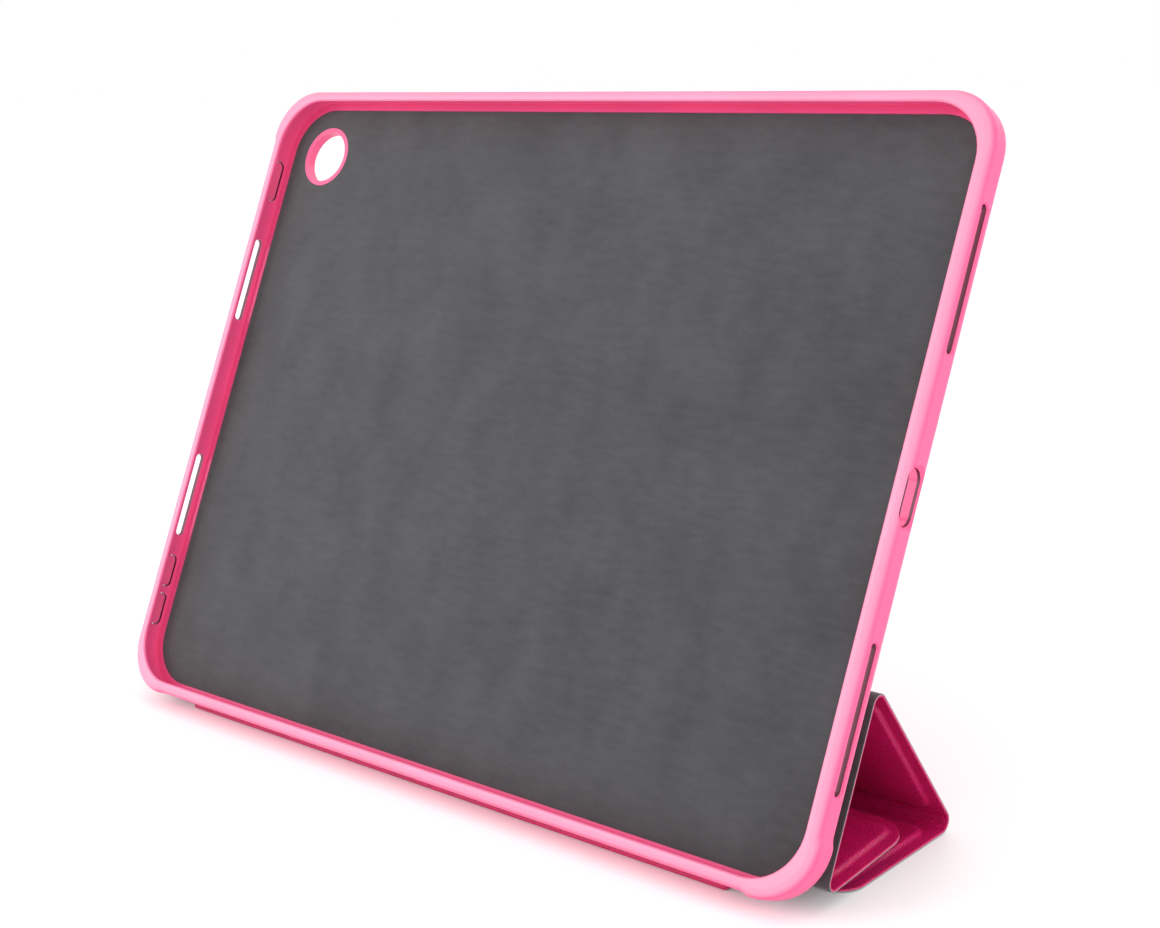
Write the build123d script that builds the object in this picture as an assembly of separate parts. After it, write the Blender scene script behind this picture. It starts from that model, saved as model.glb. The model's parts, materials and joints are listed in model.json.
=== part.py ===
"""Folding stand case for a 13-inch tablet, in its stand position (millimetres, +Z up).

A soft bumper holds the tablet's edge. A folding cover of four panels hangs on the lower long edge and is
folded into the triangle that props the case up. Two sets of axes are used:

  tray axes   X right, Y up along the tray, Z out of the screen, origin at the middle of the tablet's glass
  row axes    X right, Y backwards, Z up, origin under the middle of the whole case

The side view of the folds is laid out from the back hinge: y backwards from it, z up from the table.
"""

from build123d import *
from math import atan2, cos, degrees, radians, sin, sqrt, tan
import os

# ---------------------------------------------------------------- driving dimensions
TABLET_X, TABLET_Y, TABLET_T = 280.6, 214.9, 6.1
TABLET_R = 18.0
FIT = 0.3  # room round the tablet's edge
GLASS_ROOM = 0.2  # room over its glass and under its back
LEAN = 25.15  # the tray leans back this far from upright, degrees

WALL_X = 142.6  # half width of the bumper over its plain side walls
WALL_Y = 109.5  # half height of the bumper over its plain long walls
WALL_R = 16.5
LIP_OVERLAP = 1.8  # how far the front lip covers the glass
LIP_TOP = 1.5  # height of the lip over the glass
LIP_ROUND = 2.6
LIP_BEVEL = 0.4  # along the lip's inner edge
REAR_ROUND = 3.0
CUSHION_RUN = 3.5  # length of each corner cushion's smooth run-out
# corner: how far its cushion stands proud of the short wall and of the long wall
CUSHIONS = {(1, 1): (0.0, 0.0), (-1, 1): (0.7, 0.0), (-1, -1): (0.0, 0.4), (1, -1): (0.7, 0.8)}

LINING_T = 0.4
LEATHER_T = 0.5
BACK_LEATHER_T = 0.75
BOARD_T = 0.9
BACK_BOARD_T = 1.0
GLUE_GAP = 0.02  # bonded layers stay this far apart
LAYER_EASE = 0.1  # a layer of the back is this much smaller all round than its recess
BED_INSET = 0.4  # the lining lies this far inside the lip's opening
BACK_BOARD_INSET = 3.0
BACK_RIM = 5.0  # width of the soft rim round the leather back
NOTCH_ROOM = 0.5
OVERCUT = 1.0  # a cut runs this far past the face that it opens

COVER_X = 141.6  # half width of the cover
SPINE_X = 114.0  # half width of the spine, between the lower corner cushions
BOARD_INSET = 4.4  # from a free edge of the cover to the board in it
FOLD_INSET = 2.6  # from a fold's soft strip to the board
BOARD_R = 4.0
RIDGE_RUN = 0.3  # the raised leather starts this far outside the board's own leather
RIDGE_TAPER = 30.0
FLAP_R = 11.0
BASE_R = 8.0

SPINE_LENGTH = 12.8
REAR_PIVOT_Y = 69.0
TOP_PIVOT = (29.4, 53.3)
FRONT_PIVOT = (7.1, 5.3)
FLAP_LENGTH = 42.4
FLAP_LIFT = 4.5

SLOT_LENGTH, SLOT_WIDTH, SLOT_Y = 40.5, 3.2, 59.0
SIDE_SLOT_LENGTH, SIDE_SLOT_Y = 30.0, 40.0
PORT_LENGTH, PORT_WIDTH = 15.8, 7.0
PORT_BEVEL, SLOT_BEVEL = 1.0, 0.5
WALL_CUT = 12.0  # depth of every cut through a side wall
STYLUS_X, STYLUS_DEPTH = 88.4, 0.4
CAMERA_AT, CAMERA_R, CAMERA_RING = (-121.0, 88.0), 9.0, 1.6
CAMERA_PROUD, CAMERA_ROUND = 1.0, 0.7

# name: (centre along Y, length)
BUTTONS = {
    "power_button": (77.0, 14.0),
    "volume_up_button": (-68.0, 11.0),
    "volume_down_button": (-82.0, 11.0),
}
BUTTON_WIDTH = 3.6
BUTTON_PROUD = 0.6
BUTTON_GAP = 0.35
BUTTON_ROUND = 0.5
BUTTON_REACH = 0.5  # its inner end stops this far outside the pocket

MAGNET = (24.0, 5.0, 0.8)
MAGNET_ROOM = 0.1
MAGNET_ROW = (-95.0, 0.0, 95.0)
BACK_MAGNET_Y, BASE_MAGNET_Y, FLAP_MAGNET_Y = -58.0, 16.5, 22.0

# ---------------------------------------------------------------- worked out from them
SHEET_T = LINING_T + LEATHER_T  # the cover where it has no board
GLASS_BACK = -TABLET_T - GLASS_ROOM  # the bed that the tablet lies on
BOARD_TOP = GLASS_BACK - LINING_T
LEATHER_TOP = BOARD_TOP - BACK_BOARD_T
REAR = LEATHER_TOP - BACK_LEATHER_T
POCKET_X = TABLET_X / 2 + FIT
POCKET_Y = TABLET_Y / 2 + FIT
WINDOW_X = TABLET_X / 2 - LIP_OVERLAP
WINDOW_Y = TABLET_Y / 2 - LIP_OVERLAP
WINDOW_R = TABLET_R - LIP_OVERLAP
SIDE_MIDDLE = -TABLET_T / 2
CAMERA_CUT = CAMERA_R + CAMERA_RING + LAYER_EASE

# The layers of the back, each a rounded plate: half width, half height and corner radius of its recess.
BED = (WINDOW_X - BED_INSET, WINDOW_Y - BED_INSET, WINDOW_R)
BOARD = (WINDOW_X - BACK_BOARD_INSET, WINDOW_Y - BACK_BOARD_INSET, WINDOW_R - BACK_BOARD_INSET)
BACK = (WALL_X - BACK_RIM, WALL_Y - BACK_RIM, WALL_R - BACK_RIM)

# How far each pivot lies from the middle of the sheet, on the leather side, and how much of the sheet
# on each side of it is soft.
OFFSET = {"back": 0.45, "spine": 0.45, "rear": 1.4, "top": 1.2, "front": 0.95}
SOFT = {"back": 2.0, "spine": 3.0, "rear": 3.4, "top": 3.2, "front": 2.9}
SPINE_CLEARANCE = 1.25  # from the back pivot up to the bumper's lower wall

BACK_PIVOT_TRAY = (-WALL_Y - SPINE_CLEARANCE, (LEATHER_TOP + REAR) / 2 - OFFSET["back"])


def link(start, end, name_start, name_end):
    """Length and direction of the panel between two pivots, measured along its middle surface."""
    dy, dz = end[0] - start[0], end[1] - start[1]
    step = OFFSET[name_end] - OFFSET[name_start]
    length = sqrt(dy * dy + dz * dz - step * step)
    return length, degrees(atan2(dz, dy) - atan2(step, length))


BACK_PIVOT = (0.0, SHEET_T / 2 + OFFSET["back"])
SPINE_PIVOT = (SPINE_LENGTH, BACK_PIVOT[1])
REAR_PIVOT = (REAR_PIVOT_Y, SHEET_T / 2 + OFFSET["rear"])
PROP_LENGTH, PROP_ANGLE = link(REAR_PIVOT, TOP_PIVOT, "rear", "top")
REST_LENGTH, REST_ANGLE = link(TOP_PIVOT, FRONT_PIVOT, "top", "front")
BASE_LENGTH = REAR_PIVOT_Y - SPINE_LENGTH
REST_ANGLE += 360.0
FLAP_ANGLE = 360.0 + FLAP_LIFT

# The turn of each fold from the stand to the cover lying flat over the screen, in degrees.
TRAVEL = {
    "spine_hinge": 180.0 + LEAN,
    "base_hinge": 90.0,
    "rear_fold": PROP_ANGLE,
    "top_fold": REST_ANGLE - PROP_ANGLE,
    "front_fold": FLAP_ANGLE - REST_ANGLE,
}

# ---------------------------------------------------------------- placing
# The tray turns about X so that its Y axis leans back from upright, and its back pivot lands on BACK_PIVOT.
TRAY_TURN = 90.0 - LEAN


def tray_to_side(y, z):
    """A point of the tray in the side view that starts at the back pivot."""
    turn = radians(TRAY_TURN)
    dy, dz = y - BACK_PIVOT_TRAY[0], z - BACK_PIVOT_TRAY[1]
    return (
        BACK_PIVOT[0] + dy * cos(turn) - dz * sin(turn),
        BACK_PIVOT[1] + dy * sin(turn) + dz * cos(turn),
    )


def on_tray(shape):
    """Moves a shape from the tray's axes to its place in the side view."""
    y, z = tray_to_side(0, 0)
    return Location((0, y, z), (TRAY_TURN, 0, 0)) * shape


def panel_frame(pivot, name, angle):
    """The place of a panel whose own axes are X, Y along the panel and Z out of its leather side."""
    turn = radians(angle)
    y = pivot[0] + OFFSET[name] * sin(turn)
    z = pivot[1] - OFFSET[name] * cos(turn)
    return Location((0, y, z), (angle, 0, 0))


def slab(outline, low, high, ease=0.0):
    """A rounded plate on the Z axis between two heights, from its half width, half height and radius."""
    half_x, half_y, radius = outline
    section = RectangleRounded(2 * (half_x - ease), 2 * (half_y - ease), radius)
    return Pos(0, 0, low) * extrude(section, high - low)


def placed(place, shape):
    """A shape, or each shape of a list, moved to its place."""
    return [place * piece for piece in shape] if isinstance(shape, list) else place * shape


# ---------------------------------------------------------------- tray
def bumper_outline():
    """The bumper's outer edge: plain walls, with a cushion round each corner that runs out smoothly."""
    corner_x, corner_y = WALL_X - WALL_R, WALL_Y - WALL_R
    outline = Curve()
    for (side, level), (proud_x, proud_y) in CUSHIONS.items():
        centre = (side * corner_x, level * corner_y)
        long_start = (side * (corner_x - CUSHION_RUN), level * WALL_Y)
        long_end = (side * corner_x, level * (WALL_Y + proud_y))
        short_start = (side * (WALL_X + proud_x), level * corner_y)
        short_end = (side * WALL_X, level * (corner_y - CUSHION_RUN))
        first = {(1, 1): 0, (-1, 1): 90, (-1, -1): 180, (1, -1): 270}[(side, level)]
        outline += [
            Line((0, level * WALL_Y), long_start),
            run_out(long_start, long_end, Vector(side, 0)),
            EllipticalCenterArc(centre, WALL_R + proud_x, WALL_R + proud_y, first, arc_size=90),
            run_out(short_start, short_end, Vector(0, -level)),
            Line(short_end, (side * WALL_X, 0)),
        ]
    return make_face(outline)


def run_out(start, end, along):
    """The smooth step between a plain wall and a cushion: straight where the cushion isn't proud there."""
    if abs(start[0] - end[0]) < 1e-6 or abs(start[1] - end[1]) < 1e-6:
        return Line(start, end)
    return Spline(start, end, tangents=(along, along))


def side_slot(side, y, length, width, bevel):
    """A round-ended slot through a short wall, with a bevelled rim outside, as a solid to cut away."""
    slot = extrude(SlotOverall(length, width, 90), WALL_CUT / 2, both=True)
    rim = extrude(SlotOverall(length + 2 * bevel, width + 2 * bevel, 90), bevel, taper=45)
    outward = Pos(side * WALL_X, y, SIDE_MIDDLE) * Rot(0, -90 * side, 0)
    return outward * (slot + rim)


def bumper_frame():
    body = Pos(0, 0, REAR) * extrude(bumper_outline(), LIP_TOP - REAR)
    body = fillet(body.faces().sort_by(Axis.Z)[-1].edges(), LIP_ROUND)
    body = fillet(body.faces().sort_by(Axis.Z)[0].edges(), REAR_ROUND)

    # a shallow bed for the stylus along the upper wall
    stylus_bed = Box(2 * STYLUS_X, 2 * STYLUS_DEPTH, 4 * TABLET_T)
    stylus_bed = fillet(stylus_bed.edges().filter_by(Axis.Z), STYLUS_DEPTH * 0.6)
    body -= Pos(0, WALL_Y, 0) * stylus_bed

    body -= slab((POCKET_X, POCKET_Y, TABLET_R), GLASS_BACK, GLASS_ROOM)
    body -= slab((WINDOW_X, WINDOW_Y, WINDOW_R), 0, LIP_TOP + OVERCUT)
    lip_edge = RectangleRounded(2 * WINDOW_X, 2 * WINDOW_Y, WINDOW_R)
    body -= Pos(0, 0, LIP_TOP - LIP_BEVEL) * extrude(lip_edge, LIP_BEVEL + OVERCUT, taper=-45)
    body -= slab(BED, BOARD_TOP, GLASS_BACK + OVERCUT)
    body -= slab(BOARD, LEATHER_TOP, BOARD_TOP + OVERCUT)
    body -= slab(BACK, REAR - OVERCUT, LEATHER_TOP)

    # the leather passes out through a notch in the lower rim
    notch_low = -WALL_Y - OVERCUT
    notch_high = -BACK[1] + BACK[2]
    notch = Box(2 * (SPINE_X + NOTCH_ROOM), notch_high - notch_low, LEATHER_TOP - REAR + OVERCUT)
    body -= Pos(0, (notch_low + notch_high) / 2, (LEATHER_TOP + REAR - OVERCUT) / 2) * notch

    for y in (SLOT_Y, -SLOT_Y):
        body -= side_slot(1, y, SLOT_LENGTH, SLOT_WIDTH, SLOT_BEVEL)
    for y in (SIDE_SLOT_Y, -SIDE_SLOT_Y):
        body -= side_slot(-1, y, SIDE_SLOT_LENGTH, SLOT_WIDTH, SLOT_BEVEL)
    body -= side_slot(1, 0, PORT_LENGTH, PORT_WIDTH, PORT_BEVEL)
    for y, length in BUTTONS.values():
        body -= key_window(y, length)
    return body


def key_window(y, length):
    """The window in the left wall that a key cover moves in."""
    window = SlotOverall(length + 2 * BUTTON_GAP, BUTTON_WIDTH + 2 * BUTTON_GAP, 90)
    return Pos(-WALL_X, y, SIDE_MIDDLE) * Rot(0, 90, 0) * extrude(window, WALL_CUT / 2, both=True)


def camera_hole(radius, low, high):
    x, y = CAMERA_AT
    return Pos(x, y, low) * extrude(Circle(radius), high - low)


def back_lining():
    sheet = slab(BED, BOARD_TOP + GLUE_GAP, GLASS_BACK, LAYER_EASE)
    return sheet - camera_hole(CAMERA_CUT, REAR, 0)


def magnet_pocket(x, y, z):
    """The room that a magnet takes in a board, open to the board's upper face."""
    return Pos(x, y, z) * Box(MAGNET[0] + 2 * MAGNET_ROOM, MAGNET[1] + 2 * MAGNET_ROOM, 2 * MAGNET[2])


def back_board():
    board = slab(BOARD, LEATHER_TOP + GLUE_GAP, BOARD_TOP - GLUE_GAP, LAYER_EASE)
    board -= camera_hole(CAMERA_CUT, REAR, 0)
    for x in MAGNET_ROW:
        board -= magnet_pocket(x, BACK_MAGNET_Y, BOARD_TOP)
    return board


def back_magnets():
    thick = MAGNET[2] - 2 * GLUE_GAP
    middle = BOARD_TOP - GLUE_GAP - thick / 2
    return [Pos(x, BACK_MAGNET_Y, middle) * Box(MAGNET[0], MAGNET[1], thick) for x in MAGNET_ROW]


def back_skin():
    """The leather of the back, with the tongue that runs out through the notch to the first fold."""
    skin = slab(BACK, REAR, LEATHER_TOP, LAYER_EASE)
    low_edge = BACK_PIVOT_TRAY[0] + SOFT["back"] + GLUE_GAP
    high_edge = -BACK[1] + 2 * BACK[2]
    tongue = Box(2 * SPINE_X, high_edge - low_edge, LEATHER_TOP - REAR)
    skin += Pos(0, (low_edge + high_edge) / 2, (REAR + LEATHER_TOP) / 2) * tongue
    return skin - camera_hole(CAMERA_CUT, REAR - OVERCUT, 0)


def camera_ring():
    """The raised moulded ring round the rear camera's hole."""
    ring = camera_hole(CAMERA_R + CAMERA_RING, REAR - CAMERA_PROUD, GLASS_BACK)
    ring = fillet(ring.edges().sort_by(Axis.Z)[0], CAMERA_ROUND)
    return ring - camera_hole(CAMERA_R, REAR - CAMERA_PROUD - OVERCUT, 0)


def button(y, length):
    """A button cover: a round-ended pad that stands a little proud of the wall."""
    inner, outer = -POCKET_X - BUTTON_REACH, -WALL_X - BUTTON_PROUD
    pad = Rot(0, 90, 0) * extrude(SlotOverall(length, BUTTON_WIDTH, 90), inner - outer)
    pad = fillet(pad.faces().sort_by(Axis.X)[0].edges(), BUTTON_ROUND)
    return Pos(outer, y, SIDE_MIDDLE) * pad


# ---------------------------------------------------------------- cover
def cover_plate(width, start, end, low, high, start_r=0.0, end_r=0.0):
    """A plate of the cover between two stations along the panel, with its corners rounded where asked."""
    plate = Pos(0, (start + end) / 2, low) * extrude(Rectangle(2 * width, end - start), high - low)
    uprights = plate.edges().filter_by(Axis.Z)
    if start_r:
        plate = fillet(uprights.sort_by(Axis.Y)[:2], start_r)
    if end_r:
        plate = fillet(plate.edges().filter_by(Axis.Z).sort_by(Axis.Y)[-2:], end_r)
    return plate


def panel(start, end, start_r=0.0, end_r=0.0, magnet_y=None):
    """One panel as lining, stiffener board and leather, and the magnets let into its board.

    The leather lies on the lining round the edge and is raised where it passes over the board."""
    low, top = -SHEET_T / 2, SHEET_T / 2
    glue = low + LINING_T
    half_x = COVER_X - BOARD_INSET
    board_start = start + FOLD_INSET
    board_end = end - (BOARD_INSET if end_r else FOLD_INSET)

    lining = cover_plate(COVER_X, start, end, low, glue - GLUE_GAP, start_r, end_r)
    board = cover_plate(half_x, board_start, board_end, glue, glue + BOARD_T, BOARD_R, BOARD_R)

    skin = cover_plate(COVER_X, start, end, glue, top, start_r, end_r)
    ramp = LEATHER_T + RIDGE_RUN
    raised = RectangleRounded(2 * (half_x + ramp), board_end - board_start + 2 * ramp, BOARD_R + ramp)
    raised = Pos(0, (board_start + board_end) / 2, glue) * raised
    raised = extrude(raised, top + BOARD_T - glue, taper=RIDGE_TAPER)
    pocket = cover_plate(
        half_x + GLUE_GAP,
        board_start - GLUE_GAP,
        board_end + GLUE_GAP,
        glue - GLUE_GAP,
        glue + BOARD_T + GLUE_GAP,
        BOARD_R,
        BOARD_R,
    )
    pieces = {"lining": lining, "board": board, "skin": skin + raised - pocket}

    if magnet_y is not None:
        middle = glue + BOARD_T / 2
        bars = [Pos(x, magnet_y, middle) * Box(MAGNET[0], MAGNET[1], MAGNET[2]) for x in MAGNET_ROW]
        for x in MAGNET_ROW:
            pieces["board"] -= magnet_pocket(x, magnet_y, middle)
        pieces["magnets"] = bars
    return pieces


def fold_strip(pivot, name, angle_in, angle_out, half_x):
    """The soft sheet round a fold: an arc that meets both panels squarely."""
    bend = radians(angle_out - angle_in)
    start = Vector(0, pivot[0], pivot[1])
    turn = radians(angle_in)
    along = Vector(0, cos(turn), sin(turn))
    inward = Vector(0, -sin(turn), cos(turn))
    foot = start - inward * OFFSET[name] - along * SOFT[name]
    if bend < radians(1):
        length = 2 * SOFT[name]
        sheet = Box(2 * half_x, length - 2 * GLUE_GAP, SHEET_T)
        centre = foot + along * (length / 2)
        return Location((0, centre.Y, centre.Z), (angle_in, 0, 0)) * sheet
    radius = OFFSET[name] + SOFT[name] / tan(bend / 2)
    centre = foot + inward * radius
    first = degrees(turn) - 90.0
    sweep = degrees(bend)
    outer = CenterArc((centre.Y, centre.Z), radius + SHEET_T / 2, first, sweep)
    inner = CenterArc((centre.Y, centre.Z), radius - SHEET_T / 2, first, sweep)
    section = make_face(Wire([outer, Line(outer @ 1, inner @ 1), inner, Line(inner @ 0, outer @ 0)]))
    # the section is drawn with y along X and z along Y; the plane stands it up in the side view
    upright = Plane(origin=(0, 0, 0), x_dir=(0, 1, 0), z_dir=(1, 0, 0))
    return extrude(upright * section, half_x, both=True)


def spine():
    """The narrow strip that crosses the lower wall when the cover is shut: leather outside, lining inside."""
    start, end = SOFT["back"] + GLUE_GAP, SPINE_LENGTH - SOFT["spine"] - GLUE_GAP
    low, top = -SHEET_T / 2, SHEET_T / 2
    glue = low + LINING_T
    return {
        "lining": cover_plate(SPINE_X, start, end, low, glue - GLUE_GAP),
        "skin": cover_plate(SPINE_X, start, end, glue, top),
    }


def build():
    """Every sub-part by node name, in the side view's place."""
    parts = {
        "bumper_frame": on_tray(bumper_frame()),
        "back_lining": on_tray(back_lining()),
        "back_board": on_tray(back_board()),
        "back_magnets": [on_tray(bar) for bar in back_magnets()],
        "back_skin": on_tray(back_skin()),
        "camera_ring": on_tray(camera_ring()),
    }
    for name, (y, length) in BUTTONS.items():
        parts[name] = on_tray(button(y, length))

    place = panel_frame(BACK_PIVOT, "back", 0.0)
    for layer, shape in spine().items():
        parts["spine_" + layer] = place * shape

    def add_panel(name, pivot, fold, angle, end, **options):
        place = panel_frame(pivot, fold, angle)
        for layer, shape in panel(SOFT[fold] + GLUE_GAP, end, **options).items():
            parts[f"{name}_panel_{layer}"] = placed(place, shape)

    base_end = BASE_LENGTH - SOFT["rear"] - GLUE_GAP
    prop_end = PROP_LENGTH - SOFT["top"] - GLUE_GAP
    rest_end = REST_LENGTH - SOFT["front"] - GLUE_GAP
    add_panel("base", SPINE_PIVOT, "spine", 0.0, base_end, start_r=BASE_R, magnet_y=BASE_MAGNET_Y)
    add_panel("prop", REAR_PIVOT, "rear", PROP_ANGLE, prop_end)
    add_panel("rest", TOP_PIVOT, "top", REST_ANGLE, rest_end)
    add_panel("flap", FRONT_PIVOT, "front", FLAP_ANGLE, FLAP_LENGTH, end_r=FLAP_R, magnet_y=FLAP_MAGNET_Y)

    back_angle = -180.0 + TRAY_TURN
    parts["back_fold"] = fold_strip(BACK_PIVOT, "back", back_angle, 0.0, SPINE_X)
    parts["base_fold"] = fold_strip(SPINE_PIVOT, "spine", 0.0, 0.0, SPINE_X)
    parts["rear_fold"] = fold_strip(REAR_PIVOT, "rear", 0.0, PROP_ANGLE, COVER_X)
    parts["top_fold"] = fold_strip(TOP_PIVOT, "top", PROP_ANGLE, REST_ANGLE, COVER_X)
    parts["front_fold"] = fold_strip(FRONT_PIVOT, "front", REST_ANGLE, FLAP_ANGLE, COVER_X)
    return parts


def main():
    parts = build()
    box = Compound([s for shape in parts.values() for s in Compound(shape).solids()]).bounding_box()
    shift = Pos(-box.center().X, -box.center().Y, -box.min.Z)
    os.makedirs("parts", exist_ok=True)
    for name, shape in parts.items():
        solids = [shift * solid for solid in Compound(shape).solids()]
        export_step(Compound(solids) if len(solids) > 1 else solids[0], "parts/" + name + ".step")

    side = Vector(0, -box.center().Y, -box.min.Z)
    pivots = {
        "spine_hinge": BACK_PIVOT,
        "base_hinge": SPINE_PIVOT,
        "rear_fold": REAR_PIVOT,
        "top_fold": TOP_PIVOT,
        "front_fold": FRONT_PIVOT,
    }
    for name, (y, z) in pivots.items():
        print(f"{name}: y {y + side.Y:.4f} z {z + side.Z:.4f} travel {TRAVEL[name]:.4f}")
    y, z = tray_to_side(0, 0)
    print(f"tray axes start at y {y + side.Y:.4f} z {z + side.Z:.4f}, turned {TRAY_TURN} degrees about X")
    print(f"whole size {box.size.X:.2f} x {box.size.Y:.2f} x {box.size.Z:.2f}")


main()
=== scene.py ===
import json
from math import pi, radians, tan

import bmesh
import bpy
import numpy as np
from mathutils import Matrix, Vector, noise


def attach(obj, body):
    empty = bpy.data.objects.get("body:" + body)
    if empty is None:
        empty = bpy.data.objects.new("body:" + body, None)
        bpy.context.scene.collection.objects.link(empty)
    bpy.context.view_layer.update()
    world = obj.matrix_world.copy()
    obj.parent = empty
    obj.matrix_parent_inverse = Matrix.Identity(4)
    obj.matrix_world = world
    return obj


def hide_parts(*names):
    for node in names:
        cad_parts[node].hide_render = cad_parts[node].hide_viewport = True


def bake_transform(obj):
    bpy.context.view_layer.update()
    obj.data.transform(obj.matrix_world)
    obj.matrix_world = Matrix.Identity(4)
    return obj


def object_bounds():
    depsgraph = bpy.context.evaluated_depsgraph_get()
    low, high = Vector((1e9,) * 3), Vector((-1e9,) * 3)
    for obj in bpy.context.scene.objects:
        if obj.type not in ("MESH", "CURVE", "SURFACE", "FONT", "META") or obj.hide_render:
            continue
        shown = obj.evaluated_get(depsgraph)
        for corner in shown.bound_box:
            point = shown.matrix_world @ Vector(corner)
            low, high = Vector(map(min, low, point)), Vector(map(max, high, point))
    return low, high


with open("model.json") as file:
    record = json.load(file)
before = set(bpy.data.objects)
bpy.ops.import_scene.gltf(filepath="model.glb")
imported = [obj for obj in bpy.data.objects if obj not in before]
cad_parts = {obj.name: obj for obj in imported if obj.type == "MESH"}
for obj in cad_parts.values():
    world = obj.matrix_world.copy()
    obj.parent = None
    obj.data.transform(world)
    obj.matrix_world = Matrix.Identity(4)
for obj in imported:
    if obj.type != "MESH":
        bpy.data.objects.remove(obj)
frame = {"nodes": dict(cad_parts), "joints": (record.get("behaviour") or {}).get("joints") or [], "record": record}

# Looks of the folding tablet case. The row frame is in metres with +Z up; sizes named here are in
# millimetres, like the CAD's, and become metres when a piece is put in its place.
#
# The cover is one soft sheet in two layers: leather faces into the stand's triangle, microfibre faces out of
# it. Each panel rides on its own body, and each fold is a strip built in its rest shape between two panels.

MM = 0.001
cad_low, cad_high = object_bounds()
record = frame["record"]
joints = {joint["name"]: joint for joint in frame["joints"]}
ratios = {c["joint"]: c["ratio"] for c in record["behaviour"]["couplings"]}
mounts = {mount["name"]: mount for mount in record["mounts"]}

# ---------------------------------------------------------------- sizes shared with the CAD
LINING_T, LEATHER_T, BOARD_T = 0.4, 0.5, 0.9
SHEET_T = LINING_T + LEATHER_T
GLUE_GAP = 0.02  # bonded layers stay this far apart
COVER_X, SPINE_X = 141.6, 114.0  # half widths of the cover and of the spine
BOARD_INSET, FOLD_INSET, BOARD_R = 4.4, 2.6, 4.0  # board: from a free edge, from a fold, corner radius
FLAP_R, BASE_R = 11.0, 8.0  # corner radii of the flap's end and of the base's start
FLAP_LENGTH = 42.4
# fold: from its axis to the sheet's middle surface, and from its line to each end of its soft strip
OFFSET = {"back": 0.45, "spine": 0.45, "rear": 1.4, "top": 1.2, "front": 0.95}
SOFT = {"back": 2.0, "spine": 3.0, "rear": 3.4, "top": 3.2, "front": 2.9}

POCKET_X = 140.65  # half width of the tablet's pocket
BED_Z = -6.3  # height of the lined bed in the tray's axes
LEATHER_TOP, REAR = -7.7, -8.45  # heights of the back leather's inner and outer face
BED = (138.0, 105.15, 16.2)  # half width, half height and corner radius of the bed's microfibre
BACK = (137.5, 104.4, 11.5)  # the same for the back's leather
CAMERA_AT, CAMERA_CUT = (-121.0, 88.0), 10.7  # middle and radius of the hole for the camera's ring

# ---------------------------------------------------------------- places from the frame
pivots = {
    "back": Vector(joints["spine_hinge"]["pos_m"]),
    "spine": Vector(joints["base_hinge"]["pos_m"]),
    "rear": Vector(joints["rear_fold_hinge"]["pos_m"]),
    "top": Vector(joints["top_fold_hinge"]["pos_m"]),
    "front": Vector(joints["front_fold_hinge"]["pos_m"]),
}
cover_travel = radians(joints["spine_hinge"]["range_deg"][1])
PROP_ANGLE = ratios["rear_fold_hinge"] * cover_travel
REST_ANGLE = PROP_ANGLE + ratios["top_fold_hinge"] * cover_travel
FLAP_ANGLE = REST_ANGLE + ratios["front_fold_hinge"] * cover_travel

bed = mounts["tablet_bed"]
tray_out = Vector(bed["axis"]).normalized()
tray_up = tray_out.cross(Vector((1, 0, 0)))
tray_origin = Vector(bed["pos_m"]) - tray_out * BED_Z * MM
TRAY = Matrix.Translation(tray_origin) @ Matrix((Vector((1, 0, 0)), tray_up, tray_out)).transposed().to_4x4()


def fold_place(fold, angle):
    """The place of a sheet's axes at a fold: X, Y along the sheet, Z out of its leather side."""
    return Matrix.Translation(pivots[fold]) @ Matrix.Rotation(angle, 4, "X")


def reach(start, end):
    """Length of the panel between two folds, along its middle surface, in millimetres."""
    step = OFFSET[end] - OFFSET[start]
    return (((pivots[end] - pivots[start]).length / MM) ** 2 - step**2) ** 0.5


# ---------------------------------------------------------------- node helpers
def new_material(name, roughness):
    """A material, its node tree and its shader."""
    made = bpy.data.materials.new(name)
    made.use_nodes = True
    shader = made.node_tree.nodes["Principled BSDF"]
    shader.inputs["Roughness"].default_value = roughness
    return made, made.node_tree, shader


def node(tree, kind, **inputs):
    """A node of the tree; each keyword sets the input or property of that name."""
    made = tree.nodes.new(kind)
    for key, value in inputs.items():
        if hasattr(made, key):
            setattr(made, key, value)
        elif isinstance(value, bpy.types.NodeSocket):
            tree.links.new(value, made.inputs[key])
        else:
            made.inputs[key].default_value = value
    return made


def place_of(tree, stretch=(1, 1, 1)):
    """The point being shaded, in metres, with each axis stretched."""
    where = node(tree, "ShaderNodeTexCoord").outputs["Object"]
    return node(tree, "ShaderNodeMapping", Vector=where, Scale=stretch).outputs["Vector"]


def cloud(tree, size_mm, detail=3.0, stretch=(1, 1, 1)):
    """Noise whose patches are about size_mm across."""
    where = place_of(tree, stretch)
    made = node(tree, "ShaderNodeTexNoise", Vector=where, Scale=1 / (size_mm * MM), Detail=detail)
    return made.outputs["Fac"]


def spread(tree, value, low, high, to_low=0.0, to_high=1.0):
    """A value between low and high, stretched to run from to_low to to_high."""
    made = node(tree, "ShaderNodeMapRange", Value=value)
    for socket, number in zip(list(made.inputs)[1:5], (low, high, to_low, to_high)):
        socket.default_value = number
    return made.outputs["Result"]


def blend_colours(tree, share, first, second):
    """A colour that goes from first to second as share goes from 0 to 1. Each is a colour or a socket."""
    made = tree.nodes.new("ShaderNodeMix")
    made.data_type = "RGBA"
    tree.links.new(share, made.inputs["Factor"])
    for socket, colour in ((made.inputs[6], first), (made.inputs[7], second)):
        if isinstance(colour, bpy.types.NodeSocket):
            tree.links.new(colour, socket)
        else:
            socket.default_value = (*colour, 1)
    return made.outputs[2]


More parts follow.
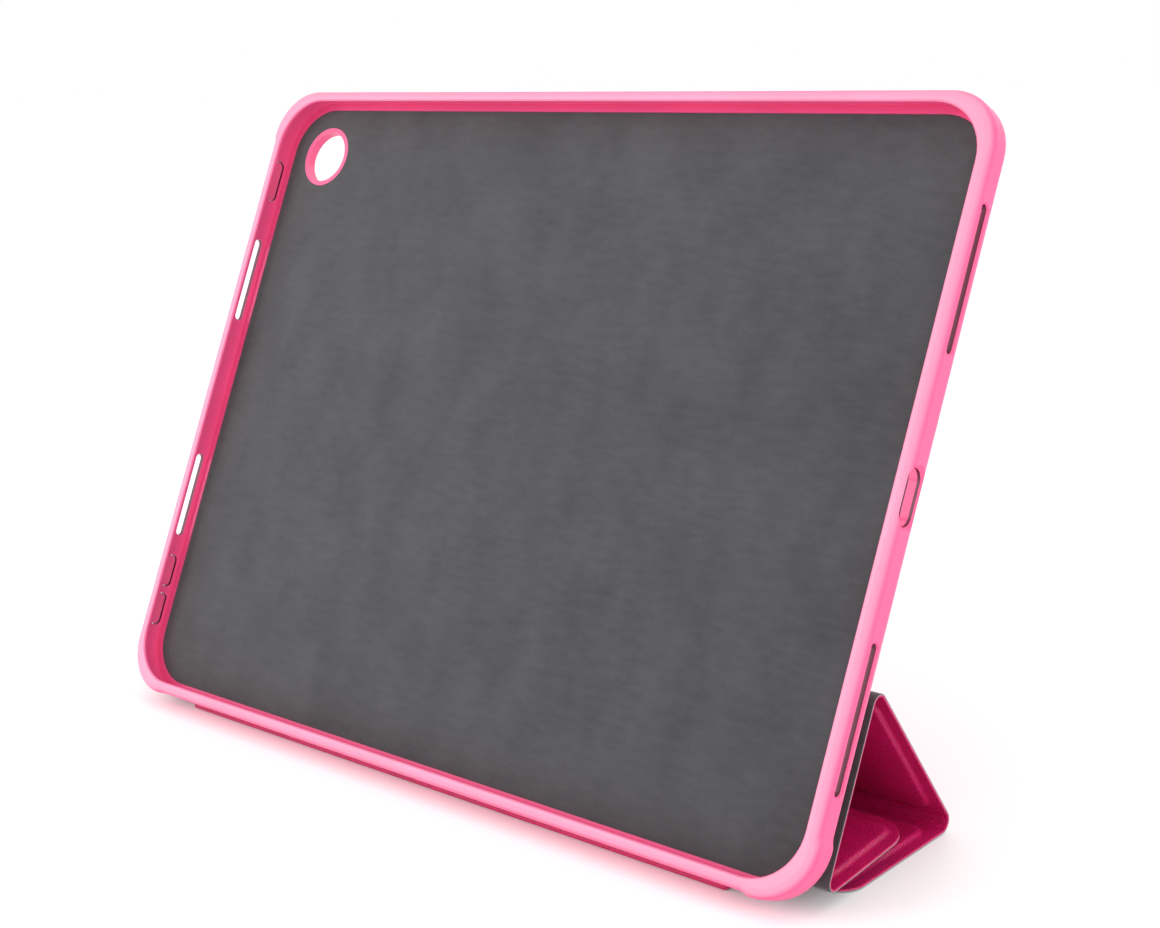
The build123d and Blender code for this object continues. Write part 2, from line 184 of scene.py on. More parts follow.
def combine(tree, operation, first, second):
    """Two values, or a value and a number, put together by a math operation."""
    made = tree.nodes.new("ShaderNodeMath")
    made.operation = operation
    for socket, value in ((made.inputs[0], first), (made.inputs[1], second)):
        if isinstance(value, bpy.types.NodeSocket):
            tree.links.new(value, socket)
        else:
            socket.default_value = value
    return made.outputs[0]


def component(tree, vector, axis, start=None):
    """How far a vector reaches along an axis, measured from a start point if one is given."""
    made = node(tree, "ShaderNodeVectorMath", operation="DOT_PRODUCT")
    tree.links.new(vector, made.inputs[0])
    made.inputs[1].default_value = axis
    if start is None:
        return made.outputs["Value"]
    return combine(tree, "SUBTRACT", made.outputs["Value"], start.dot(axis))


def bump(tree, height, depth_mm, strength=1.0, below=None):
    """A surface normal from a height that runs from 0 to 1 over depth_mm."""
    made = node(tree, "ShaderNodeBump", Height=height, Distance=depth_mm * MM, Strength=strength)
    if below is not None:
        tree.links.new(below, made.inputs["Normal"])
    return made.outputs["Normal"]


# ---------------------------------------------------------------- materials
ACROSS = Vector((1, 0, 0))
CUT_SHADE_COLOUR = (0.13, 0.002, 0.035)  # painted shade deep inside the bumper's slots and port
LIP_HIGHLIGHT_DEEP = -0.8  # the painted highlight on the front lip ends this far under the glass
LIP_HIGHLIGHT_FACING = (0.5, 0.9)  # the lip's painted highlight comes in as a face turns to the front
CUT_SHADE_FACING = (0.35, 0.2)  # the painted shade in a cut comes in as a face turns away from the side
CUT_SHADE_DEPTHS = (0.6, -6.8)  # the cuts through the wall, darkened by painted shade, lie between these heights over the glass
CUT_SHADE_FADE = 0.1
EVEN_NOISE = (0.35, 0.65)  # the middle of a noise, where most of its values are
WIDE_NOISE = (0.3, 0.7)  # and a wider part of it


def soft_plastic(name, colour, lip_highlight_colour):
    """Moulded soft plastic: slightly see-through, with a fine matt skin; its front lip is paler where faces turn
    to the front, a painted highlight, and the inside of the wall's slots and port is darker, a painted shade.
    """
    made, tree, shader = new_material(name, 0.4)
    geometry = node(tree, "ShaderNodeNewGeometry").outputs
    depth = component(tree, geometry["Position"], tray_out, tray_origin)
    across = combine(tree, "ABSOLUTE", component(tree, geometry["Position"], ACROSS, tray_origin), 0.0)
    facing_out = component(tree, geometry["Normal"], tray_out)
    facing_side = combine(tree, "ABSOLUTE", component(tree, geometry["Normal"], ACROSS), 0.0)
    # painted highlight: paler on faces turned to the front, near the glass
    in_lip_highlight = combine(
        tree,
        "MULTIPLY",
        spread(tree, facing_out, *LIP_HIGHLIGHT_FACING),
        spread(tree, depth, LIP_HIGHLIGHT_DEEP * MM, 0.0),
    )
    # painted shade: darker on faces inside the slots and port through the wall
    top, bottom = CUT_SHADE_DEPTHS
    in_wall = spread(tree, across, POCKET_X * MM, (POCKET_X + CUT_SHADE_FADE) * MM)
    under_top = spread(tree, depth, top * MM, (top - CUT_SHADE_FADE) * MM)
    over_bottom = spread(tree, depth, bottom * MM, (bottom + CUT_SHADE_FADE) * MM)
    in_cut_shade = spread(tree, facing_side, *CUT_SHADE_FACING)
    for limit in (in_wall, under_top, over_bottom):
        in_cut_shade = combine(tree, "MULTIPLY", in_cut_shade, limit)
    patches = cloud(tree, 28, 2)
    grain = cloud(tree, 0.35, 4)
    scuffs = spread(tree, cloud(tree, 3.0, 6, (1, 0.25, 1)), 0.62, 0.75)
    tint = blend_colours(tree, in_lip_highlight, colour, lip_highlight_colour)
    tint = blend_colours(tree, in_cut_shade, tint, CUT_SHADE_COLOUR)
    deeper = node(tree, "ShaderNodeVectorMath", operation="SCALE", Vector=tint, Scale=0.94).outputs[0]
    tint = blend_colours(tree, spread(tree, patches, *EVEN_NOISE), deeper, tint)
    shader.inputs["Subsurface Weight"].default_value = 0.2
    shader.inputs["Subsurface Radius"].default_value = (1.0, 0.35, 0.5)
    shader.inputs["Subsurface Scale"].default_value = 0.0022
    shader.inputs["Coat Weight"].default_value = 0.12
    shader.inputs["Coat Roughness"].default_value = 0.3
    tree.links.new(tint, shader.inputs["Base Color"])
    scuffed = combine(tree, "MULTIPLY", scuffs, 0.08)
    rough = combine(tree, "ADD", spread(tree, grain, *WIDE_NOISE, 0.34, 0.46), scuffed)
    tree.links.new(rough, shader.inputs["Roughness"])
    tree.links.new(bump(tree, grain, 0.012, 0.5), shader.inputs["Normal"])
    return made


LEATHER_DYE = ((0.60, 0.003, 0.115), (0.70, 0.005, 0.142))
# darker in the pebbles' valleys as painted shade; paler where worn at free edges and as a painted highlight over
# the boards' ridges
LEATHER_VALLEY_SHADE, LEATHER_WORN_AND_HIGHLIT = (0.36, 0.001, 0.06), (0.78, 0.035, 0.22)
PEBBLE_SCALE, WARP_SCALE = 1300.0, 500.0  # pebbles, and the waves in their outlines, per metre
WARP = 0.6  # how far the outlines wander


def leather(name):
    """Fine-grained synthetic leather: pebbles with valleys darkened by painted shade, a satin face, and paler
    ridges and edges, from a painted highlight over the boards' ridges and from wear at free edges.
    """
    made, tree, shader = new_material(name, 0.42)
    warp = node(tree, "ShaderNodeTexNoise", Vector=place_of(tree), Scale=WARP_SCALE, Detail=2.0)
    shifted = node(tree, "ShaderNodeVectorMath", operation="MULTIPLY_ADD")
    tree.links.new(warp.outputs["Color"], shifted.inputs[0])
    shifted.inputs[1].default_value = (WARP * MM, WARP * MM, WARP * MM)
    tree.links.new(place_of(tree), shifted.inputs[2])
    where = shifted.outputs[0]
    pebbles = node(tree, "ShaderNodeTexVoronoi", feature="DISTANCE_TO_EDGE", Vector=where, Scale=PEBBLE_SCALE)
    valley = spread(tree, pebbles.outputs["Distance"], 0.0, 0.22)
    fine = cloud(tree, 0.18, 3)
    dye = spread(tree, cloud(tree, 22, 3), *EVEN_NOISE)
    wear_and_highlight = node(tree, "ShaderNodeAttribute", attribute_name="wear_and_highlight").outputs["Fac"]

    face = blend_colours(tree, dye, *LEATHER_DYE)
    # paler where worn, and paler as a painted highlight along the ridges over the boards
    face = blend_colours(tree, combine(tree, "MULTIPLY", wear_and_highlight, 0.35), face, LEATHER_WORN_AND_HIGHLIT)
    # painted shade darkens the valleys between the pebbles
    tree.links.new(blend_colours(tree, valley, LEATHER_VALLEY_SHADE, face), shader.inputs["Base Color"])
    polished = combine(tree, "MULTIPLY", wear_and_highlight, -0.08)
    rough = combine(tree, "ADD", spread(tree, fine, *WIDE_NOISE, 0.36, 0.5), polished)
    tree.links.new(rough, shader.inputs["Roughness"])
    shader.inputs["Specular IOR Level"].default_value = 0.45
    shader.inputs["Sheen Weight"].default_value = 0.04
    shader.inputs["Sheen Roughness"].default_value = 0.4
    shader.inputs["Sheen Tint"].default_value = (1.0, 0.35, 0.6, 1)
    shape = bump(tree, valley, 0.05, 0.55)
    tree.links.new(bump(tree, fine, 0.02, 0.3, shape), shader.inputs["Normal"])
    return made


def microfibre(name, dark, light):
    """Short-napped microfibre: soft tone where the nap lies differently, and fibres in the surface."""
    made, tree, shader = new_material(name, 0.9)
    lay = cloud(tree, 16, 4, (1, 0.6, 0.6))
    strokes = cloud(tree, 2.2, 5, (0.35, 1, 1))
    fibres = cloud(tree, 0.16, 2)
    tone = combine(tree, "ADD", combine(tree, "MULTIPLY", lay, 0.6), combine(tree, "MULTIPLY", strokes, 0.4))
    tint = blend_colours(tree, spread(tree, tone, 0.25, 0.75), dark, light)
    speck = spread(tree, fibres, *WIDE_NOISE, 0.72, 1.12)
    tint = node(tree, "ShaderNodeVectorMath", operation="SCALE", Vector=tint, Scale=speck).outputs[0]
    tree.links.new(tint, shader.inputs["Base Color"])
    tree.links.new(spread(tree, fibres, *WIDE_NOISE, 0.8, 0.98), shader.inputs["Roughness"])
    shader.inputs["Specular IOR Level"].default_value = 0.2
    shader.inputs["Sheen Weight"].default_value = 0.35
    shader.inputs["Sheen Roughness"].default_value = 0.45
    height = combine(tree, "ADD", fibres, combine(tree, "MULTIPLY", strokes, 0.6))
    tree.links.new(bump(tree, height, 0.09, 0.6), shader.inputs["Normal"])
    return made


# the cut edge's own pale core together with a painted highlight along it
EDGE_CORE_AND_HIGHLIGHT = ((0.20, 0.22, 0.22), (0.42, 0.44, 0.43))
FLOOR_TONES = ((0.90, 0.90, 0.90), (0.92, 0.92, 0.92))


def cut_edge(name):
    """The sheet's trimmed edge: pale from its core and from a painted highlight, with stray fibres between its two
    faces.
    """
    made, tree, shader = new_material(name, 0.8)
    fibres = cloud(tree, 0.25, 4, (0.5, 1, 1))
    tint = blend_colours(tree, spread(tree, fibres, *EVEN_NOISE), *EDGE_CORE_AND_HIGHLIGHT)
    tree.links.new(tint, shader.inputs["Base Color"])
    tree.links.new(bump(tree, fibres, 0.06, 0.7), shader.inputs["Normal"])
    return made


def stiffener(name):
    """Grey stiffener board with pressed fibres."""
    made, tree, shader = new_material(name, 0.85)
    fibres = cloud(tree, 0.8, 5, (0.3, 1, 1))
    tint = blend_colours(tree, fibres, (0.20, 0.19, 0.17), (0.36, 0.34, 0.31))
    tree.links.new(tint, shader.inputs["Base Color"])
    tree.links.new(bump(tree, fibres, 0.05, 0.5), shader.inputs["Normal"])
    return made


def plated_steel(name):
    """Nickel-plated magnet with a fine brushed direction along X."""
    made, tree, shader = new_material(name, 0.3)
    brush = cloud(tree, 0.2, 3, (0.05, 1, 1))
    shader.inputs["Metallic"].default_value = 1.0
    tint = blend_colours(tree, brush, (0.52, 0.52, 0.54), (0.68, 0.67, 0.66))
    tree.links.new(tint, shader.inputs["Base Color"])
    tree.links.new(spread(tree, brush, *WIDE_NOISE, 0.24, 0.36), shader.inputs["Roughness"])
    tree.links.new(bump(tree, brush, 0.01, 0.4), shader.inputs["Normal"])
    return made


def floor_paint(name):
    """A plain pale studio floor."""
    made, tree, shader = new_material(name, 0.6)
    soft = cloud(tree, 400, 2)
    tree.links.new(blend_colours(tree, soft, *FLOOR_TONES), shader.inputs["Base Color"])
    tree.links.new(spread(tree, soft, *WIDE_NOISE, 0.55, 0.65), shader.inputs["Roughness"])
    shader.inputs["Emission Color"].default_value = (1, 1, 1, 1)
    shader.inputs["Emission Strength"].default_value = 0.12
    return made


# each second colour is the pale painted highlight of a front lip
BUMPER = soft_plastic("bumper_plastic", (0.90, 0.092, 0.272), (0.97, 0.30, 0.46))
KEY = soft_plastic("key_plastic", (0.90, 0.12, 0.285), (0.93, 0.20, 0.36))
RING = soft_plastic("ring_plastic", (0.86, 0.10, 0.26), (0.90, 0.16, 0.32))
LEATHER = leather("magenta_leather")
LINING = microfibre("grey_microfibre", (0.050, 0.050, 0.054), (0.088, 0.088, 0.093))
EDGE = cut_edge("trimmed_edge")
BOARD = stiffener("stiffener_board")
MAGNET = plated_steel("plated_magnet")
ALL_LEATHER = (LEATHER, LEATHER, LEATHER)  # top, bottom and edge of a leather piece
ALL_CLOTH = (LINING, LINING, EDGE)  # and of a microfibre one


# ---------------------------------------------------------------- sheets
SHARP_ANGLE = radians(40)
EDGE_LINES = (0.0, 0.1, 0.25)  # the grid's first lines from a plate's edge


def stations(low, high, zone=14.0, fine=0.5, coarse=5.0):
    """Grid lines from low to high, close together within zone of both ends."""
    zone = min(zone, (high - low) / 2)
    near = np.concatenate([EDGE_LINES, np.arange(fine, zone, fine)])
    count = max(2, int((high - low - 2 * zone) / coarse) + 1)
    lines = np.concatenate([low + near, np.linspace(low + zone, high - zone, count), high - near])
    return np.unique(np.round(lines, 4))


def inside(x, y, half_x, start, end, start_r, end_r):
    """How far each point lies inside a plate whose corners are rounded by start_r and end_r."""
    middle, half_y = (start + end) / 2, (end - start) / 2
    radius = np.where(y < middle, start_r, end_r)
    over_x = np.abs(x) - (half_x - radius)
    over_y = np.abs(y - middle) - (half_y - radius)
    outside = np.hypot(np.maximum(over_x, 0), np.maximum(over_y, 0))
    return radius - outside - np.minimum(np.maximum(over_x, over_y), 0)


def step_up(distance, width):
    """0 where distance is under 0 and 1 where it is over width, with a smooth rise between."""
    share = np.clip(distance / width, 0, 1)
    return share * share * (3 - 2 * share)


def round_over(distance, radius):
    """How far a rounded edge drops at each distance from it."""
    left = np.clip(radius - distance, 0, radius)
    return radius - np.sqrt(radius**2 - left**2)


def waves(x, y, size, seed):
    """Smooth unevenness from -1 to 1, about size across; each seed gives its own."""
    flat = np.stack([x.ravel() / size, y.ravel() / size], axis=1)
    values = [noise.noise(Vector((px, py, seed))) for px, py in flat]
    return np.array(values).reshape(x.shape)


def plate_grid(half_x, start, end, start_r=0.0, end_r=0.0):
    """Grid points of a plate: the rows narrow where its corners are rounded."""
    xs, ys = stations(-half_x, half_x), stations(start, end)
    into_start = np.clip(start + start_r - ys, 0, start_r)
    into_end = np.clip(ys - end + end_r, 0, end_r)
    narrower = start_r - np.sqrt(start_r**2 - into_start**2) + end_r - np.sqrt(end_r**2 - into_end**2)
    x = xs[None, :] * ((half_x - narrower) / half_x)[:, None]
    y = np.repeat(ys[:, None], len(xs), axis=1)
    return x, y


def shell(name, top, bottom, place, materials, wear_and_highlight=None):
    """A thin closed piece between two grids of points; materials are for its top, bottom and edge."""
    rows, columns = top.shape[:2]
    points = np.concatenate([top.reshape(-1, 3), bottom.reshape(-1, 3)]) * MM
    matrix = np.array(place)
    points = points @ matrix[:3, :3].T + matrix[:3, 3]
    high = np.arange(rows * columns).reshape(rows, columns)
    low = high + rows * columns
    quads = np.stack([high[:-1, :-1], high[:-1, 1:], high[1:, 1:], high[1:, :-1]], axis=-1).reshape(-1, 4)
    ring = np.concatenate([high[0, :-1], high[:-1, -1], high[-1, :0:-1], high[:0:-1, 0]])
    after = np.roll(ring, -1)
    under = low[0, 0]
    walls = np.stack([ring, ring + under, after + under, after], axis=-1)
    faces = np.concatenate([quads, quads[:, ::-1] + under, walls])

    mesh = bpy.data.meshes.new(name)
    mesh.from_pydata(points.tolist(), [], faces.tolist())
    for one in materials:
        mesh.materials.append(one)
    slots = np.repeat([0, 1, 2], [len(quads), len(quads), len(walls)]).astype(np.int32)
    mesh.polygons.foreach_set("material_index", slots)
    mesh.polygons.foreach_set("use_smooth", np.ones(len(faces), bool))
    mesh.set_sharp_from_angle(angle=SHARP_ANGLE)
    if wear_and_highlight is not None:
        attribute = mesh.attributes.new("wear_and_highlight", "FLOAT", "POINT")
        attribute.data.foreach_set("value", np.tile(wear_and_highlight.ravel(), 2).astype(np.float32))
    mesh.validate()
    piece = bpy.data.objects.new(name, mesh)
    bpy.context.scene.collection.objects.link(piece)
    return piece


def at(x, y, z):
    """Grid points from their three coordinates."""
    return np.stack([x, y, z + 0 * x], axis=-1)


GLUE = LINING_T - SHEET_T / 2  # height of the glue line between lining and leather
EDGE_ROUND = 0.18
RIDGE_RAMP = 1.7  # width of the slope where the leather comes down off a board
HINGE_EASE = 0.3  # the spine and the tray's tongue stop this far from the back hinge's axis
FLAT_END = 3.0  # the sheet is even within this of a fold, so that it meets the fold's strip
RIDGE_OUTSIDE = 0.6  # share of that slope that lies outside the board
UNEVEN, UNEVEN_SIZE = 0.05, 24.0  # height and breadth of the leather's unevenness
SAG, SAG_SIZE, SAG_RUN = 0.05, 60.0, 14.0  # how the leather sinks in the middle of a board
LINING_UNEVEN = 0.03
RIDGE_HIGHLIGHT_AT, RIDGE_HIGHLIGHT_WIDTH, WEAR_AND_HIGHLIGHT_SIZE = 0.2, 0.9, 9.0  # a painted highlight along the ridge over a board's edge, in patches that also break up the free edge's wear
EDGE_WEAR, EDGE_WEAR_WIDTH = 0.6, 0.5  # wear along a free edge


def panel_pieces(name, fold, angle, length, next_fold=None, start_r=0.0, end_r=0.0, seed=0.0):
    """A panel's leather, raised over its board, and its lining, each on the panel's body."""
    start = SOFT[fold] + GLUE_GAP
    end = length - (SOFT[next_fold] + GLUE_GAP if next_fold else 0.0)
    place = fold_place(fold, angle) @ Matrix.Translation((0, 0, -OFFSET[fold] * MM))
    x, y = plate_grid(COVER_X, start, end, start_r, end_r)
    free = COVER_X - np.abs(x)
    if start_r or end_r:
        open_start = start if start_r else start - COVER_X
        open_end = end if end_r else end + COVER_X
        free = inside(x, y, COVER_X, open_start, open_end, start_r, end_r)
    board_end = end - (BOARD_INSET if end_r else FOLD_INSET)
    on_board = inside(x, y, COVER_X - BOARD_INSET, start + FOLD_INSET, board_end, BOARD_R, BOARD_R)

    even = step_up(np.minimum(y - start, end - y), FLAT_END)
    uneven = waves(x, y, UNEVEN_SIZE, seed) * even
    raised = BOARD_T * step_up(on_board + RIDGE_RAMP * RIDGE_OUTSIDE, RIDGE_RAMP)
    sag = SAG * (waves(x, y, SAG_SIZE, seed + 5) - 1) * step_up(on_board, SAG_RUN)
    top = SHEET_T / 2 + raised + sag + UNEVEN * uneven - round_over(free, EDGE_ROUND)
    # paler leather: a painted highlight along the ridge over the board's edge, and wear along the free edge
    wear_and_highlight = np.exp(-((on_board - RIDGE_HIGHLIGHT_AT) / RIDGE_HIGHLIGHT_WIDTH) ** 2)
    wear_and_highlight = wear_and_highlight + EDGE_WEAR * np.exp(-((free / EDGE_WEAR_WIDTH) ** 2))
    wear_and_highlight *= 0.7 + 0.6 * waves(x, y, WEAR_AND_HIGHLIGHT_SIZE, seed + 9)
    skin = shell(
        name + "_leather",
        at(x, y, top),
        at(x, y, np.maximum(top - LEATHER_T, GLUE)),
        place,
        ALL_LEATHER,
        np.clip(wear_and_highlight, 0, 1),
    )
    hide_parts(name + "_skin")

    under = -SHEET_T / 2 + round_over(free, EDGE_ROUND) + LINING_UNEVEN * (1 + uneven)
    cloth = shell(name + "_microfibre", at(x, y, GLUE - GLUE_GAP), at(x, y, under), place, ALL_CLOTH)
    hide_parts(name + "_lining")
    for piece in (skin, cloth):
        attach(piece, name)


FOLD_ROWS = 25
FLAT_TURN = radians(1)  # a fold that turns less than this at rest is built flat
CREASE = 0.10  # height of the creases across a fold


def fold_pieces(node_name, fold, angle, turn, half_x, seed):
    """A fold's leather and lining: an arc that meets both panels squarely, built in its rest shape."""
    soft, offset = SOFT[fold], OFFSET[fold]
    place = fold_place(fold, angle)
    xs = stations(-half_x, half_x, coarse=3.0)
    share = np.linspace(0, 1, FOLD_ROWS)
    x, s = np.meshgrid(xs, share)

    def surface(height):
        """Points of the sheet at a height over its middle surface, towards the leather side."""
        if turn < FLAT_TURN:
            return at(x, soft * (2 * s - 1), height - offset)
        radius = offset + soft / tan(turn / 2)
        bow = (radius - height) * np.ones_like(x)
        return at(x, bow * np.sin(turn * s) - soft, radius - offset - bow * np.cos(turn * s))

    free = half_x - np.abs(x)
    middle = np.sin(pi * s) ** 2
    creases = CREASE * middle * np.sin(7 * pi * s + 1.5 * waves(x, s * 6, 14.0, seed))
    creases += CREASE * middle * waves(x, s * 8, 4.0, seed + 3)
    stretched = 0.03 + 0.04 * middle * waves(x, s * 5, 10.0, seed + 6)
    wear_and_highlight = np.clip(0.5 * middle * (0.6 + waves(x, s * 4, 8.0, seed + 1)), 0, 1)

    skin = shell(
        node_name + "_leather",
        surface(SHEET_T / 2 - round_over(free, EDGE_ROUND) + creases),
        surface(GLUE + 0 * x),
        place,
        ALL_LEATHER,
        wear_and_highlight,
    )
    cloth = shell(
        node_name + "_microfibre",
        surface(GLUE - GLUE_GAP + 0 * x),
        surface(-SHEET_T / 2 + round_over(free, EDGE_ROUND) + stretched),
        place,
        ALL_CLOTH,
    )
    middle_sheet = surface(0 * x)
    feet = [place @ (Vector(middle_sheet[row, 0]) * MM) for row in (0, -1)]
    for foot in feet:
        foot.x = 0.0
    for piece, slot in ((skin, "leather"), (cloth, "lining")):
        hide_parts(node_name)
        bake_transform(piece)


def spine_pieces():
    """The strip that crosses the lower wall when the cover is shut."""
    start, end = HINGE_EASE, reach("back", "spine") - SOFT["spine"] - GLUE_GAP
    place = fold_place("back", 0.0) @ Matrix.Translation((0, 0, -OFFSET["back"] * MM))
    x, y = plate_grid(SPINE_X, start, end)
    free = SPINE_X - np.abs(x)
    uneven = 0.03 * waves(x, y, 20.0, 31.0) * step_up(end - y, FLAT_END)
    top = SHEET_T / 2 + uneven - round_over(free, EDGE_ROUND)
    skin = shell("spine_leather", at(x, y, top), at(x, y, GLUE), place, ALL_LEATHER, 0 * x)
    under = -SHEET_T / 2 + round_over(free, EDGE_ROUND)
    cloth = shell("spine_microfibre", at(x, y, GLUE - GLUE_GAP), at(x, y, under), place, ALL_CLOTH)
    for piece, replaced, slot in ((skin, "spine_skin", "leather"), (cloth, "spine_lining", "lining")):
        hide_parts(replaced)
        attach(piece, "spine")


ROLL_SIDES = 32
ROLL_UNEVEN = 0.03


def hinge_roll():
    """The back hinge's edge: it turns through more than half a turn, so it is a roll round the axis."""
    radius = OFFSET["back"] + SHEET_T / 2
    xs = stations(-SPINE_X, SPINE_X, zone=3.0, coarse=1.5)
    turns = np.linspace(0, 2 * pi, ROLL_SIDES + 1)[:-1]
    x, t = np.meshgrid(xs, turns)
    ends = np.clip((SPINE_X - np.abs(x)) / radius, 0, 1)
    dome = np.sqrt(1 - (1 - ends) ** 2)
    swell = radius * dome * (1 - ROLL_UNEVEN * (1 + waves(x, 3 * np.sin(t), 2.5, 41.0)))
    points = np.stack([x, swell * np.cos(t), swell * np.sin(t)], axis=-1) * MM
    points = points.reshape(-1, 3) + np.array(pivots["back"])
    index = np.arange(x.size).reshape(x.shape)
    beside = np.roll(index, -1, axis=0)
    quads = np.stack([index[:, :-1], index[:, 1:], beside[:, 1:], beside[:, :-1]], axis=-1).reshape(-1, 4)

    mesh = bpy.data.meshes.new("back_fold_roll")
    mesh.from_pydata(points.tolist(), [], quads[:, ::-1].tolist())
    mesh.materials.append(LEATHER)
    work = bmesh.new()
    work.from_mesh(mesh)
    bmesh.ops.remove_doubles(work, verts=work.verts, dist=1e-6)
    bmesh.ops.recalc_face_normals(work, faces=work.faces)
    work.to_mesh(mesh)
    work.free()
    mesh.polygons.foreach_set("use_smooth", np.ones(len(mesh.polygons), bool))
    piece = bpy.data.objects.new("back_fold_roll", mesh)
    bpy.context.scene.collection.objects.link(piece)
    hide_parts("back_fold")
    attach(piece, "spine")


# ---------------------------------------------------------------- tray
CUTTER_SIDES, CUTTER_DEPTH = 96, 20.0


def cut_hole(piece, material):
    """Cuts the rear camera's hole through a piece of the back."""
    work = bmesh.new()
    radius = CAMERA_CUT * MM
    place = TRAY @ Matrix.Translation((CAMERA_AT[0] * MM, CAMERA_AT[1] * MM, REAR * MM))
    bmesh.ops.create_cone(
        work,
        cap_ends=True,
        segments=CUTTER_SIDES,
        radius1=radius,
        radius2=radius,
        depth=CUTTER_DEPTH * MM,
        matrix=place,
    )
    mesh = bpy.data.meshes.new("hole_cutter")
    work.to_mesh(mesh)
    work.free()
    mesh.materials.append(material)
    cutter = bpy.data.objects.new("hole_cutter", mesh)
    bpy.context.scene.collection.objects.link(cutter)
    cut = piece.modifiers.new("hole", "BOOLEAN")
    cut.operation = "DIFFERENCE"
    cut.object = cutter
    bpy.context.view_layer.update()
    done = bpy.data.meshes.new_from_object(piece.evaluated_get(bpy.context.evaluated_depsgraph_get()))
    piece.modifiers.clear()
    piece.data = done
    piece.data.set_sharp_from_angle(angle=SHARP_ANGLE)
    bpy.data.objects.remove(cutter)


def tray_sheet(name, half_x, half_y, radius):
    """Grid points of a rounded plate in the tray's axes, and how far each lies inside its edge."""
    x, y = plate_grid(half_x, -half_y, half_y, radius, radius)
    return x, y, inside(x, y, half_x, -half_y, half_y, radius, radius)


CHANNEL_AT, CHANNEL_WIDTH, CHANNEL_DEPTH = 5.0, 1.0, 0.16  # the border pressed into the back's leather
BACK_ROUND = 0.25  # how far the back's leather is rounded at its edge
BED_HOLLOW_AT, BED_HOLLOW_WIDTH, BED_HOLLOW = 3.0, 1.2, 0.10  # the bed sinks a little beside the wall


def back_pieces():
    """The tray's leather back with its pressed border, its tongue to the hinge, and its microfibre bed."""
    x, y, edge = tray_sheet("back", *BACK)
    channel = CHANNEL_DEPTH * np.exp(-(((edge - CHANNEL_AT) / CHANNEL_WIDTH) ** 2))
    uneven = 0.04 * (1 + waves(x, y, 45.0, 51.0)) * step_up(edge, 6.0)
    outer = REAR + round_over(edge, BACK_ROUND) + channel + uneven
    edge_wear = 0.7 * np.exp(-((edge / 0.5) ** 2))
    channel_wear = 0.35 * np.exp(-(((edge - CHANNEL_AT) / 1.8) ** 2))
    wear_and_highlight = np.clip(edge_wear + channel_wear, 0, 1)
    skin = shell("back_leather", at(x, y, LEATHER_TOP), at(x, y, outer), TRAY, ALL_LEATHER, wear_and_highlight)
    cut_hole(skin, EDGE)
    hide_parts("back_skin")

    hinge_y = (TRAY.inverted() @ pivots["back"]).y / MM
    x, y = plate_grid(SPINE_X, hinge_y + HINGE_EASE, -BACK[1] + 1.0)
    under = REAR + 0.05 + round_over(SPINE_X - np.abs(x), 0.2)
    tongue = shell("back_tongue", at(x, y, LEATHER_TOP), at(x, y, under), TRAY, ALL_LEATHER, 0 * x)
    for piece in (skin, tongue):
        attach(piece, "tray")

    x, y, edge = tray_sheet("bed", *BED)
    nap = 0.05 * waves(x, y, 30.0, 61.0) * step_up(edge, 8.0)
    hollow = BED_HOLLOW * np.exp(-(((edge - BED_HOLLOW_AT) / BED_HOLLOW_WIDTH) ** 2))
    upper = BED_Z - 0.05 + nap - hollow - round_over(edge, 0.2)
    under = BED_Z - LINING_T + GLUE_GAP
    cloth = shell("bed_microfibre", at(x, y, upper), at(x, y, under), TRAY, ALL_CLOTH)
    cut_hole(cloth, EDGE)
    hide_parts("back_lining")
    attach(cloth, "tray")


def dress(names, material):
    """Gives CAD nodes whose shape stays a material."""
    for name in names:
        slots = frame["nodes"][name].data.materials
        slots.clear()
        slots.append(material)


dress(["bumper_frame"], BUMPER)
dress(["camera_ring"], RING)
dress(["power_button", "volume_up_button", "volume_down_button"], KEY)
dress([n for n in frame["nodes"] if n.endswith("_board")], BOARD)
dress([n for n in frame["nodes"] if n.endswith("_magnets")], MAGNET)

back_pieces()
spine_pieces()
hinge_roll()
panel_pieces("base_panel", "spine", 0.0, reach("spine", "rear"), "rear", start_r=BASE_R, seed=1.0)
panel_pieces("prop_panel", "rear", PROP_ANGLE, reach("rear", "top"), "top", seed=2.0)
panel_pieces("rest_panel", "top", REST_ANGLE, reach("top", "front"), "front", seed=3.0)
panel_pieces("flap_panel", "front", FLAP_ANGLE, FLAP_LENGTH, end_r=FLAP_R, seed=4.0)
fold_pieces("base_fold", "spine", 0.0, 0.0, SPINE_X, 11.0)
fold_pieces("rear_fold", "rear", 0.0, PROP_ANGLE, COVER_X, 12.0)
top_turn, front_turn = REST_ANGLE - PROP_ANGLE, FLAP_ANGLE - REST_ANGLE
fold_pieces("top_fold", "top", PROP_ANGLE, top_turn, COVER_X, 13.0)
fold_pieces("front_fold", "front", REST_ANGLE, front_turn, COVER_X, 14.0)


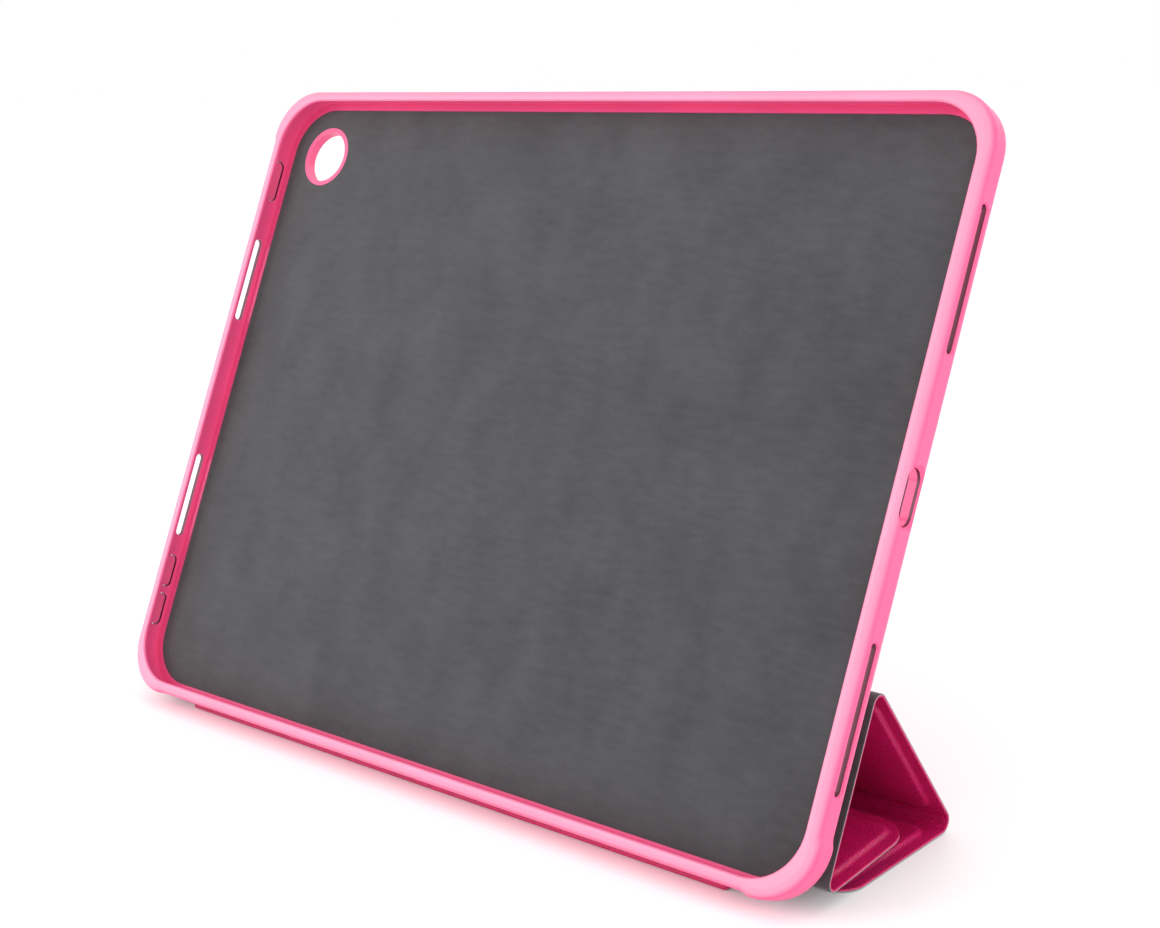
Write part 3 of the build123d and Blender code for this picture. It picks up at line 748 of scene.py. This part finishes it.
# ---------------------------------------------------------------- studio
FLOOR_REACH = 6.0  # metres from the middle to each edge of the floor
FLOOR_DROP = 0.2  # millimetres under the case, so that the two don't flicker
CAMERA_PLACE = (0.3704, -0.3924, 0.2193)  # metres
CAMERA_TURN = (73.642, 1.543, 40.646)  # degrees about X, Y and Z
CAMERA_LENS, CAMERA_SHIFT = 55.375, 0.0853


def studio_floor():
    """A wide floor under the case, for the stage only."""
    mesh = bpy.data.meshes.new("floor")
    low, high = -FLOOR_REACH, FLOOR_REACH
    corners = [(low, low, 0), (high, low, 0), (high, high, 0), (low, high, 0)]
    mesh.from_pydata(corners, [], [(0, 1, 2, 3)])
    mesh.materials.append(floor_paint("studio_floor"))
    floor = bpy.data.objects.new("floor", mesh)
    floor.location.z = -FLOOR_DROP * MM
    bpy.context.scene.collection.objects.link(floor)


def softbox(name, place, aim, size, power):
    """A square area light at a place, turned to a point."""
    lamp = bpy.data.lights.new(name, "AREA")
    lamp.size = size
    lamp.energy = power
    light = bpy.data.objects.new(name, lamp)
    light.location = place
    light.rotation_euler = (Vector(place) - Vector(aim)).to_track_quat("Z", "Y").to_euler()
    bpy.context.scene.collection.objects.link(light)


def studio_world(brightness):
    """Even white light from all round."""
    world = bpy.data.worlds.new("studio")
    world.use_nodes = True
    world.node_tree.nodes["Background"].inputs["Color"].default_value = (1, 1, 1, 1)
    world.node_tree.nodes["Background"].inputs["Strength"].default_value = brightness
    bpy.context.scene.world = world


def studio_camera():
    """The camera that sees the case from the front right, turned a little about its view."""
    data = bpy.data.cameras.new("camera")
    data.lens = CAMERA_LENS
    data.shift_y = CAMERA_SHIFT
    camera = bpy.data.objects.new("camera", data)
    camera.location = CAMERA_PLACE
    camera.rotation_euler = [radians(angle) for angle in CAMERA_TURN]
    bpy.context.scene.collection.objects.link(camera)
    bpy.context.scene.camera = camera


middle = (cad_low + cad_high) / 2
studio_floor()
softbox("key", (-0.9, -1.1, 0.7), middle, 0.9, 9)
softbox("fill", (1.2, 0.0, 0.4), middle, 0.7, 4)
softbox("rim", (0.3, 1.3, 1.1), middle, 1.0, 3)
studio_world(1.0)
studio_camera()
bpy.context.scene.view_settings.view_transform = "Standard"
